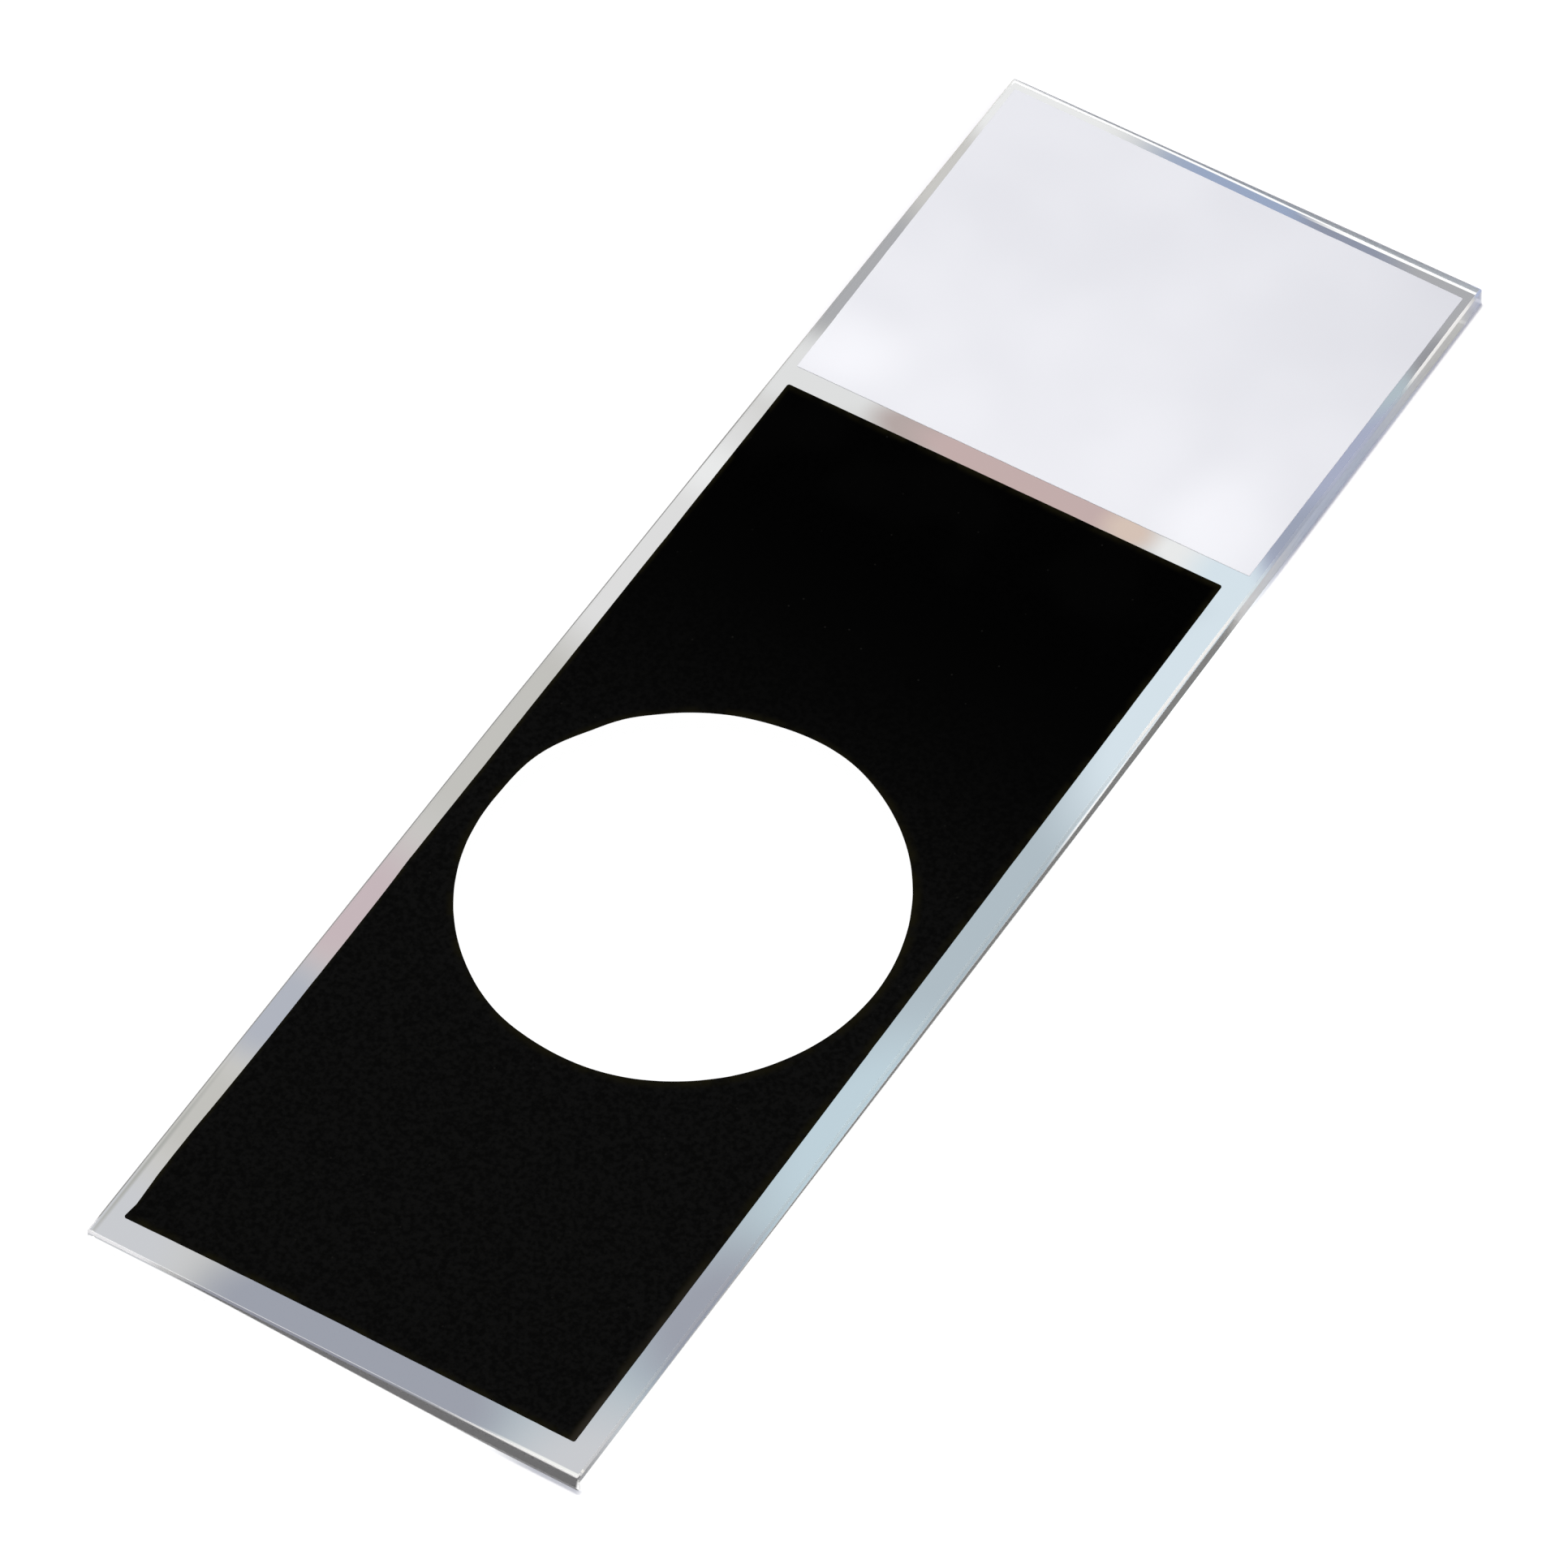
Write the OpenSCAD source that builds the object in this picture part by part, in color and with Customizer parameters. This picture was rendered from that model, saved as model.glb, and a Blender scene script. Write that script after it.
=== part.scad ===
// Microscope slide with a printed well and a writing field.
//
// A clear glass plate lies flat with its underside on Z = 0. The origin is the centre of
// that underside, X runs across the slide, Y runs along it towards the writing field and
// Z points up. Two thin coats are printed on the upper face of the glass: a black
// water-repelling mask that is open in one round well, and a white field to write on.

/* [Glass plate] */
// Width of the glass, from long edge to long edge
glass_w = 25; // [20:0.5:32]
// Length of the glass, from end to end
glass_l = 75; // [60:0.5:90]
// Thickness of the glass
glass_t = 1.0; // [0.8:0.05:1.6]
// Width of the ground chamfer along every edge of both faces
edge_chamfer = 0.09; // [0.05:0.01:0.25]
// Radius of the four dubbed upright corners, which is never less than the chamfer
corner_r = 0.12; // [0.1:0.01:1.5]

/* [Writing field] */
// Length of the white field, along the slide
field_l = 18.6; // [10:0.1:24]
// Clear glass between the field and the end of the slide
field_end_margin = 0.75; // [0.3:0.05:4]
// Clear glass between the field and the left edge
field_left_margin = 0.65; // [0.3:0.05:3]
// Clear glass between the field and the right edge
field_right_margin = 0.55; // [0.3:0.05:3]
// Corner radius of the field
field_corner_r = 0.12; // [0.1:0.01:1.5]
// Thickness of the white coat
field_coat_t = 0.03; // [0.01:0.005:0.06]

/* [Mask and well] */
// Width of black left between the round well and the nearest sides of the mask
well_rim = 1.4; // [0.5:0.1:7]
// Clear glass between the mask and the near end of the slide
mask_end_margin = 1.5; // [0.3:0.05:4]
// Clear glass between the mask and the left edge
mask_left_margin = 1.0; // [0.3:0.05:2]
// Clear glass between the mask and the right edge
mask_right_margin = 1.2; // [0.3:0.05:2]
// Clear strip between the mask and the writing field
print_gap = 1.15; // [0.5:0.05:4]
// Corner radius of the mask
mask_corner_r = 0.12; // [0.1:0.01:1.5]
// Thickness of the black coat
mask_coat_t = 0.04; // [0.01:0.005:0.08]

/* [Hidden] */
$fn = 96;

// The far end is the one with the writing field.
near_end_y = -glass_l / 2;
far_end_y = glass_l / 2;
left_edge_x = -glass_w / 2;
right_edge_x = glass_w / 2;

// A corner post keeps a small flat inside its chamfer.
post_r = max(corner_r, edge_chamfer + 0.02);

// Each printed field is [left, near, right, far], measured in from the edges of the glass.
field_rect = [
    left_edge_x + field_left_margin,
    far_end_y - field_end_margin - field_l,
    right_edge_x - field_right_margin,
    far_end_y - field_end_margin
];
mask_rect = [
    left_edge_x + mask_left_margin,
    near_end_y + mask_end_margin,
    right_edge_x - mask_right_margin,
    field_rect[1] - print_gap
];

// The well sits in the middle of the mask, as wide as its rim allows.
well_centre = [(mask_rect[0] + mask_rect[2]) / 2, (mask_rect[1] + mask_rect[3]) / 2];
well_d = mask_rect[2] - mask_rect[0] - 2 * well_rim;

glass_colour = [0.82, 0.90, 0.90, 0.45];
mask_colour = [0.04, 0.04, 0.04];
field_colour = [0.91, 0.91, 0.94];

// Half of the section through a ground edge: from the middle of a plate out to reach,
// with a chamfer at the top and at the bottom.
module half_section(reach) {
    polygon([
        [0, 0],
        [reach - edge_chamfer, 0],
        [reach, edge_chamfer],
        [reach, glass_t - edge_chamfer],
        [reach - edge_chamfer, glass_t],
        [0, glass_t]
    ]);
}

// A bar whose two long edges are ground: span across the section, run along the bar.
module ground_bar(span, run) {
    rotate([90, 0, 0])
        linear_extrude(height = run, center = true) {
            half_section(span / 2);
            mirror([1, 0]) half_section(span / 2);
        }
}

// A rectangle with round corners, given as [left, near, right, far].
module rounded_field(rect, r) {
    translate([rect[0] + r, rect[1]])
        square([rect[2] - rect[0] - 2 * r, rect[3] - rect[1]]);
    translate([rect[0], rect[1] + r])
        square([rect[2] - rect[0], rect[3] - rect[1] - 2 * r]);
    for (x = [rect[0] + r, rect[2] - r], y = [rect[1] + r, rect[3] - r])
        translate([x, y]) circle(r = r);
}

// The glass: two crossed bars, one ground along its long edges and one along its ends,
// joined by a turned post at each corner so that the chamfer runs on round it.
module glass_plate() {
    color(glass_colour) {
        ground_bar(glass_w, glass_l - 2 * post_r);
        rotate([0, 0, 90]) ground_bar(glass_l, glass_w - 2 * post_r);
        for (x = [-1, 1], y = [-1, 1])
            translate([x * (glass_w / 2 - post_r), y * (glass_l / 2 - post_r), 0])
                rotate_extrude() half_section(post_r);
    }
}

// The black mask: one coat over the working length, open in the round well.
module mask_print() {
    color(mask_colour)
        translate([0, 0, glass_t])
            linear_extrude(height = mask_coat_t)
                difference() {
                    rounded_field(mask_rect, mask_corner_r);
                    translate(well_centre) circle(d = well_d);
                }
}

// The white field at the far end, for writing on.
module writing_field() {
    color(field_colour)
        translate([0, 0, glass_t])
            linear_extrude(height = field_coat_t)
                rounded_field(field_rect, field_corner_r);
}

glass_plate();
mask_print();
writing_field();
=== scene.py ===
"""Looks of a glass microscope slide with a printed round well and a writing field.

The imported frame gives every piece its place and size. The glass and its two printed coats
are modelled here with their ground chamfers, soft ink edges and fine surface detail, and
each one stands for the solid that it replaces. Lengths are in metres unless a name ends
in _mm, and materials work in millimetres.
"""

from __future__ import annotations

import logging
import math
from collections.abc import Callable
from dataclasses import dataclass, field
from enum import Enum, IntEnum
from functools import reduce
from operator import or_
from typing import ClassVar

import bmesh
import bpy
from mathutils import Matrix, Vector, noise


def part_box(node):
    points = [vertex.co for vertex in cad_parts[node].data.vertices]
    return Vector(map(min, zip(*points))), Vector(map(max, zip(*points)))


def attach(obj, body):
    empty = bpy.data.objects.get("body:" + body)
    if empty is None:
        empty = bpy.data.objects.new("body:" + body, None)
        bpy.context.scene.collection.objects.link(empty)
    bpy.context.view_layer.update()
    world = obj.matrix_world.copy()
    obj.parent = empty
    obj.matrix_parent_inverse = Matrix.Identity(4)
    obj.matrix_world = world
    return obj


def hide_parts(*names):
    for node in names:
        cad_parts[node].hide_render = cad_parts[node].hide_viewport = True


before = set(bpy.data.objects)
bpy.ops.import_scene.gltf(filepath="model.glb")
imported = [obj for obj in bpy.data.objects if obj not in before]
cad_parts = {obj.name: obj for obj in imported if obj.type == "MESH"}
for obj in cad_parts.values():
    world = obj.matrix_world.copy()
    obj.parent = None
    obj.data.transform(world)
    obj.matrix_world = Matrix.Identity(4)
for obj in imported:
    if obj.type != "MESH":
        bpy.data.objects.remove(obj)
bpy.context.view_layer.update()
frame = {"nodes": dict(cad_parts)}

logging.basicConfig(level=logging.INFO, format="%(name)s: %(message)s")
log = logging.getLogger("slide")

MM = 0.001
BODY = "root"
Triple = tuple[float, float, float]
Colour = Triple
Pair = tuple[float, float]
WHITE: Colour = (1.0, 1.0, 1.0)
CLEAR: Colour = (0.95, 0.96, 0.96)  # what a face of the glass lets through
GLASS_REFRACTION = 1.52
NEAR = 1e-6  # two places closer than this count as one
SMOOTH_DEG = 10.0  # edges that turn less than this are smooth
SEED_SHIFT: Triple = (1.0, 0.7, 1.3)  # how far a seed of 1 moves a pattern, in millimetres


# --------------------------------------------------------------------------- shader maths


class Wire:
    """A shader output that takes part in Python arithmetic.

    An expression such as ``1 - mask * 0.5`` adds the Math nodes that it needs.
    """

    def __init__(self, sheet: ShaderSheet, socket: bpy.types.NodeSocket) -> None:
        """Wraps an output of the sheet's node tree."""
        self.sheet = sheet
        self.socket = socket

    def maths(self, operation: str, *terms: Wire | float) -> Wire:
        """Adds one Math node for the operation on these terms, and gives its result."""
        return self.sheet.add("ShaderNodeMath", {"operation": operation}, dict(enumerate(terms)))

    def __add__(self, other: Wire | float) -> Wire:
        """Sum."""
        return self.maths("ADD", self, other)

    __radd__ = __add__

    def __mul__(self, other: Wire | float) -> Wire:
        """Product."""
        return self.maths("MULTIPLY", self, other)

    __rmul__ = __mul__

    def __sub__(self, other: Wire | float) -> Wire:
        """Difference."""
        return self.maths("SUBTRACT", self, other)

    def __rsub__(self, other: float) -> Wire:
        """Difference from a number."""
        return self.maths("SUBTRACT", other, self)

    def __truediv__(self, other: Wire | float) -> Wire:
        """Quotient."""
        return self.maths("DIVIDE", self, other)

    def __rtruediv__(self, other: float) -> Wire:
        """Quotient of a number."""
        return self.maths("DIVIDE", other, self)

    def __or__(self, other: Wire | float) -> Wire:
        """The larger of two values, which joins two masks."""
        return self.maths("MAXIMUM", self, other)

    __ror__ = __or__

    def rises(self, low: float, high: float) -> Wire:
        """A soft step over the value.

        Args:
            low: Where the step is still 0.
            high: Where it has come to 1. It may lie under low, and the step then falls.

        Returns:
            A value from 0 to 1.
        """
        falls = high < low
        ends = {1: high, 2: low, 3: 1.0, 4: 0.0} if falls else {1: low, 2: high, 3: 0.0, 4: 1.0}
        settings = {"interpolation_type": "SMOOTHSTEP"}
        return self.sheet.add("ShaderNodeMapRange", settings, {0: self, **ends})

    def past(self, side: float, ends: Pair) -> Wire:
        """A soft step near a side, with its two ends counted from there."""
        return self.rises(side + ends[0], side + ends[1])


@dataclass(frozen=True)
class Place:
    """Where a point of a piece lies, in millimetres."""

    at: Wire
    x: Wire
    y: Wire
    z: Wire


class ShaderSheet:
    """The node tree of a material or of the world."""

    def __init__(self, tree: bpy.types.NodeTree) -> None:
        """Takes the tree to build in, and empties it."""
        self.tree = tree
        tree.nodes.clear()

    def add(
        self,
        kind: str,
        settings: dict[str, object] | None = None,
        sockets: dict[int | str, object] | None = None,
        out: int | str = 0,
    ) -> Wire | None:
        """Adds one node.

        Args:
            kind: The node's type.
            settings: Its own properties, which are set first. "stops" fills a colour ramp.
            sockets: A number, a colour or a wire for each input, by name or number.
            out: The output that is wanted.

        Returns:
            That output, or nothing for a node that has none.
        """
        node = self.tree.nodes.new(kind)
        for name, value in (settings or {}).items():
            if name == "stops":
                self._fill_ramp(node.color_ramp, value)
            else:
                setattr(node, name, value)
        for name, value in (sockets or {}).items():
            entry = node.inputs[name]
            if isinstance(value, Wire):
                self.tree.links.new(value.socket, entry)
            elif entry.type == "RGBA":
                entry.default_value = (*value, 1.0)
            else:
                entry.default_value = value
        return Wire(self, node.outputs[out]) if len(node.outputs) else None

    @staticmethod
    def _fill_ramp(ramp: bpy.types.ColorRamp, stops: list[tuple[float, Colour]]) -> None:
        """Puts the stops on a colour ramp.

        Args:
            ramp: The ramp, which starts with two stops.
            stops: Each stop's place from 0 to 1, and its colour.
        """
        ramp.elements.remove(ramp.elements[1])
        first, *others = stops
        ramp.elements[0].position = first[0]
        ramp.elements[0].color = (*first[1], 1.0)
        for place, colour in others:
            ramp.elements.new(place).color = (*colour, 1.0)

    def place(self) -> Place:
        """Finds where the point that is shaded lies on its piece.

        Returns:
            Its place, in millimetres.
        """
        metres = self.add("ShaderNodeTexCoord", out="Object")
        at = self.add("ShaderNodeVectorMath", {"operation": "SCALE"}, {0: metres, "Scale": 1 / MM})
        parts = [self.add("ShaderNodeSeparateXYZ", None, {0: at}, out=axis) for axis in "XYZ"]
        return Place(at, *parts)

    def shift(self, at: Wire, by: Triple) -> Wire:
        """Moves a pattern's coordinates."""
        return self.add("ShaderNodeVectorMath", {"operation": "ADD"}, {0: at, 1: by})

    def stretch(self, at: Wire, by: Triple | Wire) -> Wire:
        """Multiplies a colour, or a pattern's coordinates, by a factor for each part."""
        return self.add("ShaderNodeVectorMath", {"operation": "MULTIPLY"}, {0: at, 1: by})

    def specks(
        self, at: Wire, spacing_mm: float, radius_mm: float, seed: float, core: float = 0.4
    ) -> Wire:
        """Small round dots on a level face, one for each cell of a loose grid.

        Args:
            at: Coordinates in millimetres.
            spacing_mm: The mean distance between two dots.
            radius_mm: Their radius.
            seed: Another number gives other places.
            core: The share of a dot's radius that is full.

        Returns:
            1 in a dot and 0 outside.
        """
        sockets = {"Vector": self.shift(at, (seed, seed, 0.0)), "Scale": 1 / spacing_mm}
        settings = {"feature": "F1", "voronoi_dimensions": "2D"}
        reach = self.add("ShaderNodeTexVoronoi", settings, sockets, out="Distance")
        return reach.rises(radius_mm / spacing_mm, core * radius_mm / spacing_mm)

    def oval(self, at: Wire, middle: Pair, reach: Pair, core: float = 0.25) -> Wire:
        """A soft oval, seen from above.

        Args:
            at: Coordinates in millimetres.
            middle: Its centre.
            reach: How far it reaches along x and along y before it has faded out.
            core: The share of that reach that is full.

        Returns:
            1 in the core, falling to 0 at the full reach.
        """
        moved = self.shift(at, (-middle[0], -middle[1], 0.0))
        scaled = self.stretch(moved, (1 / reach[0], 1 / reach[1], 0.0))
        off = self.add("ShaderNodeVectorMath", {"operation": "LENGTH"}, {0: scaled}, out="Value")
        return off.rises(1.0, core)

    def disc(self, at: Wire, middle: Pair, radius: float, soft: float) -> Wire:
        """1 within a radius, falling to 0 over a soft rim outside it."""
        return self.oval(at, middle, (radius + soft,) * 2, radius / (radius + soft))

    def blend(self, share: Wire | float, first: Wire | Colour, second: Wire | Colour) -> Wire:
        """Mixes two colours; the share says how much of the second shows."""
        settings = {"data_type": "RGBA", "clamp_factor": True}
        return self.add("ShaderNodeMix", settings, {0: share, 6: first, 7: second}, out=2)

    def bump(self, height: Wire, depth_mm: float, strength: float) -> Wire:
        """Bends the normal by a height from 0 to 1, where 1 stands as high as the depth."""
        sockets = {"Strength": strength, "Distance": depth_mm * MM, "Height": height}
        return self.add("ShaderNodeBump", None, sockets)

    def principled(self, **sockets: object) -> Wire:
        """Adds the main surface shader, whose inputs are named with _ for each space."""
        named = {name.replace("_", " "): value for name, value in sockets.items()}
        return self.add("ShaderNodeBsdfPrincipled", None, named)

    def glass(self, colour: Wire | Colour, refraction: float) -> Wire:
        """Adds a shader of polished glass."""
        sockets = {"Roughness": 0.0, "IOR": refraction, "Transmission_Weight": 1.0}
        return self.principled(Base_Color=colour, **sockets)

    def let_through(self, colour: Colour) -> Wire:
        """Adds a shader that lets light straight through, tinted by a colour."""
        return self.add("ShaderNodeBsdfTransparent", None, {"Color": colour})

    def mix_shaders(self, share: Wire | float, first: Wire, second: Wire) -> Wire:
        """Mixes two shaders; the share says how much of the second shows."""
        return self.add("ShaderNodeMixShader", None, {0: share, 1: first, 2: second})

    def ray_is(self, *kinds: str) -> Wire:
        """1 for a light ray of one of these kinds, such as "Camera"."""
        tests = [self.add("ShaderNodeLightPath", out=f"Is {kind} Ray") for kind in kinds]
        return reduce(or_, tests)


@dataclass(frozen=True)
class Grain:
    """A pattern of soft noise.

    Attributes:
        size_mm: The size of its blotches.
        detail: How many finer layers it has.
        seed: Another number gives another pattern.
        ends: The levels that come out as 0 and as 1, or none to leave them as they are.
        fineness: How strong each finer layer is beside the one before.
    """

    size_mm: float
    detail: float = 2.0
    seed: float = 0.0
    ends: Pair | None = None
    fineness: float = 0.55

    def on(self, at: Wire) -> Wire:
        """Lays the pattern on coordinates in millimetres.

        Args:
            at: The coordinates.

        Returns:
            A value from 0 to 1.
        """
        sheet = at.sheet
        moved = sheet.shift(at, tuple(part * self.seed for part in SEED_SHIFT)) if self.seed else at
        sockets = {"Vector": moved, "Scale": 1 / self.size_mm, "Detail": self.detail}
        sockets["Roughness"] = self.fineness
        level = sheet.add("ShaderNodeTexNoise", {"noise_dimensions": "3D"}, sockets)
        return level.rises(*self.ends) if self.ends else level


class Finish:
    """What all the materials share: each is built from the values of its own finish."""

    material_name: ClassVar[str]

    def make(self) -> bpy.types.Material:
        """Builds the material.

        Returns:
            The material, with the finish's shader as its surface.
        """
        material = bpy.data.materials.new(self.material_name)
        material.use_nodes = True
        sheet = ShaderSheet(material.node_tree)
        sheet.add("ShaderNodeOutputMaterial", None, {"Surface": self.surface(sheet)})
        return material

    def surface(self, sheet: ShaderSheet) -> Wire:
        """The shader that a finish gives its surface."""
        raise NotImplementedError


# --------------------------------------------------------------------------- sizes


@dataclass(frozen=True)
class Rect:
    """A rectangle seen from above: left, near, right and far."""

    left: float
    near: float
    right: float
    far: float

    @classmethod
    def of_node(cls, node: str) -> Rect:
        """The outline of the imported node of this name."""
        low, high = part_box(node)
        return cls(low.x, low.y, high.x, high.y)

    @property
    def middle(self) -> Pair:
        """The centre."""
        return (self.left + self.right) / 2, (self.near + self.far) / 2

    @property
    def span(self) -> Pair:
        """The width and the length."""
        return self.right - self.left, self.far - self.near

    @property
    def in_mm(self) -> Rect:
        """The same rectangle in millimetres."""
        return Rect(*(side / MM for side in (self.left, self.near, self.right, self.far)))


@dataclass(frozen=True)
class Layout:
    """Where the pieces of the slide lie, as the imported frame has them."""

    glass: Rect = field(default_factory=lambda: Rect.of_node("glass_plate"))
    mask: Rect = field(default_factory=lambda: Rect.of_node("mask_print"))
    white: Rect = field(default_factory=lambda: Rect.of_node("writing_field"))
    glass_top: float = field(default_factory=lambda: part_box("glass_plate")[1].z)
    mask_top: float = field(default_factory=lambda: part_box("mask_print")[1].z)
    white_top: float = field(default_factory=lambda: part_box("writing_field")[1].z)
    well_radius: float = 10.0 * MM

    @property
    def well_middle(self) -> Pair:
        """The centre of the well, which is the centre of the mask."""
        return self.mask.middle


# --------------------------------------------------------------------------- finishes


class PaintedTone(Enum):
    """Painted shade and reflection tones of the clear glass over white, as red, green and blue from
    0 to 255.
    """

    CREAM = (240, 241, 238)
    PEARL = (232, 233, 233)
    MIST = (221, 222, 222)
    OYSTER = (220, 220, 220)
    FLINT = (193, 192, 188)
    SILVER = (200, 202, 206)
    WARM_GREY = (200, 199, 196)
    COOL_GREY = (175, 188, 196)
    ASH = (171, 172, 168)
    SLATE = (170, 171, 174)
    GRAPHITE = (150, 151, 156)
    ROSE = (194, 173, 171)
    MAUVE = (197, 182, 186)
    BLUSH = (213, 194, 182)
    CLAY = (180, 167, 164)
    LILAC = (176, 180, 190)
    LAVENDER = (156, 160, 171)
    STEEL = (154, 168, 194)
    ICE = (190, 208, 217)
    FROST = (212, 225, 233)
    PERIWINKLE = (167, 173, 195)
    DUSK = (156, 163, 181)
    HEATHER = (144, 150, 167)

    @property
    def light(self) -> Colour:
        """The same tint as amounts of light."""
        return tuple(as_light(level / 255) for level in self.value)


def as_light(level: float) -> float:
    """Turns a display level into an amount of light, both from 0 to 1."""
    return level / 12.92 if level <= 0.04045 else ((level + 0.055) / 1.055) ** 2.4


@dataclass(frozen=True)
class PaintedToneArea:
    """A soft oval of painted shade and reflection in the glass, in millimetres from the middle of
    the slide.
    """

    tint: PaintedTone
    middle: Pair
    reach: Pair
    core: float = 0.25


@dataclass(frozen=True)
class ClearGlass(Finish):
    """Polished float glass with painted shade and painted reflections outside the well, as soft
    tints.

    These painted tones lie on the underside and on its chamfers, some of which are white. A pair
    says where a soft step is still 0 and where it has come to 1, in millimetres.

    Attributes:
        layout: Where the pieces lie.
        areas: The painted shade and reflections, each laid over the ones before it.
        passed: How much light the two faces let through between them.
        mirrored: How much light they mirror.
        bare_mm: How far past the well the glass stays bare, under the ink.
        bare_soft_mm: How softly the veil begins there.
        mirror_ends: The strengths of a mirror image between which the veil gives way to it.
        face_ends: Where the underside itself ends, counted upwards.
        chamfer_from: Where its chamfer begins, counted upwards.
        chamfer_to: Where its chamfer ends, counted upwards.
        far_white: The white on the far chamfer, counted from the far side.
        far_white_along: Where along x it begins.
        right_white: The white along the right side, counted from there.
        wide_white: The part by which it widens, counted in the same way.
        wide_white_along: Where along y it widens.
        right_white_along: Where along y it ends.
        near_white: The white along the near side, counted from there.
    """

    layout: Layout
    areas: tuple[PaintedToneArea, ...] = (
        PaintedToneArea(PaintedTone.OYSTER, (-12.5, 4.0), (4.0, 15.0), 0.6),
        PaintedToneArea(PaintedTone.FLINT, (-12.5, -5.4), (4.0, 7.6), 0.5),
        PaintedToneArea(PaintedTone.PEARL, (-12.5, 11.4), (4.0, 2.4), 0.1),
        PaintedToneArea(PaintedTone.MAUVE, (-12.5, -17.0), (4.0, 6.0)),
        PaintedToneArea(PaintedTone.FLINT, (-12.5, -29.4), (4.0, 3.4), 0.4),
        PaintedToneArea(PaintedTone.LILAC, (-12.5, -23.3), (4.0, 3.9), 0.35),
        PaintedToneArea(PaintedTone.FROST, (12.5, 11.0), (4.0, 11.0), 0.4),
        PaintedToneArea(PaintedTone.ICE, (12.5, -16.0), (4.0, 8.5), 0.3),
        PaintedToneArea(PaintedTone.LAVENDER, (12.5, -27.5), (4.0, 6.0)),
        PaintedToneArea(PaintedTone.LAVENDER, (0.5, -37.0), (9.5, 5.0), 0.6),
        PaintedToneArea(PaintedTone.SILVER, (-12.5, -37.0), (6.0, 5.0), 0.4),
        PaintedToneArea(PaintedTone.SILVER, (12.5, -37.5), (5.3, 6.9)),
        # Painted shade: a thin darker line along the left edge.
        PaintedToneArea(PaintedTone.ASH, (-12.55, -33.0), (0.22, 9.0), 0.2),
        PaintedToneArea(PaintedTone.MIST, (-12.5, 18.5), (7.5, 3.0), 0.5),
        PaintedToneArea(PaintedTone.CLAY, (-5.5, 18.0), (3.0, 1.6), 0.3),
        PaintedToneArea(PaintedTone.ROSE, (0.5, 18.0), (7.0, 1.6), 0.6),
        PaintedToneArea(PaintedTone.PEARL, (8.8, 18.0), (3.6, 1.6), 0.3),
        PaintedToneArea(PaintedTone.BLUSH, (5.8, 18.0), (2.0, 1.6), 0.2),
        PaintedToneArea(PaintedTone.FROST, (12.5, 18.0), (4.4, 3.0), 0.5),
        PaintedToneArea(PaintedTone.SLATE, (-12.5, 24.6), (2.0, 5.5), 0.5),
        PaintedToneArea(PaintedTone.PERIWINKLE, (12.5, 24.3), (2.0, 6.7), 0.6),
        PaintedToneArea(PaintedTone.DUSK, (12.5, 21.6), (2.0, 3.2), 0.3),
        PaintedToneArea(PaintedTone.SLATE, (12.5, 35.7), (2.0, 5.2), 0.5),
        PaintedToneArea(PaintedTone.GRAPHITE, (12.5, 33.3), (1.5, 2.0)),
        PaintedToneArea(PaintedTone.STEEL, (1.3, 37.5), (9.2, 2.5), 0.35),
        PaintedToneArea(PaintedTone.HEATHER, (6.5, 37.5), (4.5, 2.5), 0.5),
        PaintedToneArea(PaintedTone.SLATE, (12.0, 38.0), (5.5, 3.0), 0.5),
        PaintedToneArea(PaintedTone.PEARL, (-12.5, 37.5), (9.0, 4.5), 0.5),
        # Painted highlight: a thin pale line near the right end of the near side.
        PaintedToneArea(PaintedTone.CREAM, (12.5, -37.03), (6.0, 0.11), 0.4),
    )
    passed: float = 0.99
    mirrored: float = 0.05
    bare_mm: float = 0.9
    bare_soft_mm: float = 0.2
    mirror_ends: Pair = (0.4, 0.8)
    face_ends: Pair = (0.004, 0.001)
    chamfer_from: Pair = (0.0005, 0.001)
    chamfer_to: Pair = (0.13, 0.11)
    far_white: Pair = (-0.12, -0.09)
    far_white_along: Pair = (2.5, 6.0)
    right_white: Pair = (-0.26, -0.21)
    wide_white: Pair = (-0.37, -0.26)
    wide_white_along: Pair = (0.0, 4.0)
    right_white_along: Pair = (16.0, 13.0)
    near_white: Pair = (0.45, 0.40)

    material_name = "polished_glass"

    def surface(self, sheet: ShaderSheet) -> Wire:
        """Builds the shader.

        Args:
            sheet: The material's nodes.

        Returns:
            The shader.
        """
        here = sheet.place()
        polished = sheet.glass(WHITE, GLASS_REFRACTION)
        painted_tone = sheet.glass(self._painted_tone_colour(sheet, here), 1.0)
        clear = sheet.mix_shaders(self._painted_tone_share(sheet, here), polished, painted_tone)
        return sheet.mix_shaders(sheet.ray_is("Shadow", "Diffuse"), clear, sheet.let_through(CLEAR))

    def tint(self, sheet: ShaderSheet, here: Place) -> Wire:
        """The painted shade and reflections that the glass shows over white.

        Args:
            sheet: The material's nodes.
            here: The point that is shaded.

        Returns:
            The colour.
        """
        glass = self.layout.glass.in_mm
        across = here.x.rises(glass.left, glass.right)
        # Painted shade across the margins, with painted reflections laid over it in soft areas.
        seen = sheet.blend(across, PaintedTone.WARM_GREY.light, PaintedTone.COOL_GREY.light)
        for area in self.areas:
            share = sheet.oval(here.at, area.middle, area.reach, area.core)
            seen = sheet.blend(share, seen, area.tint.light)
        return seen

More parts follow.
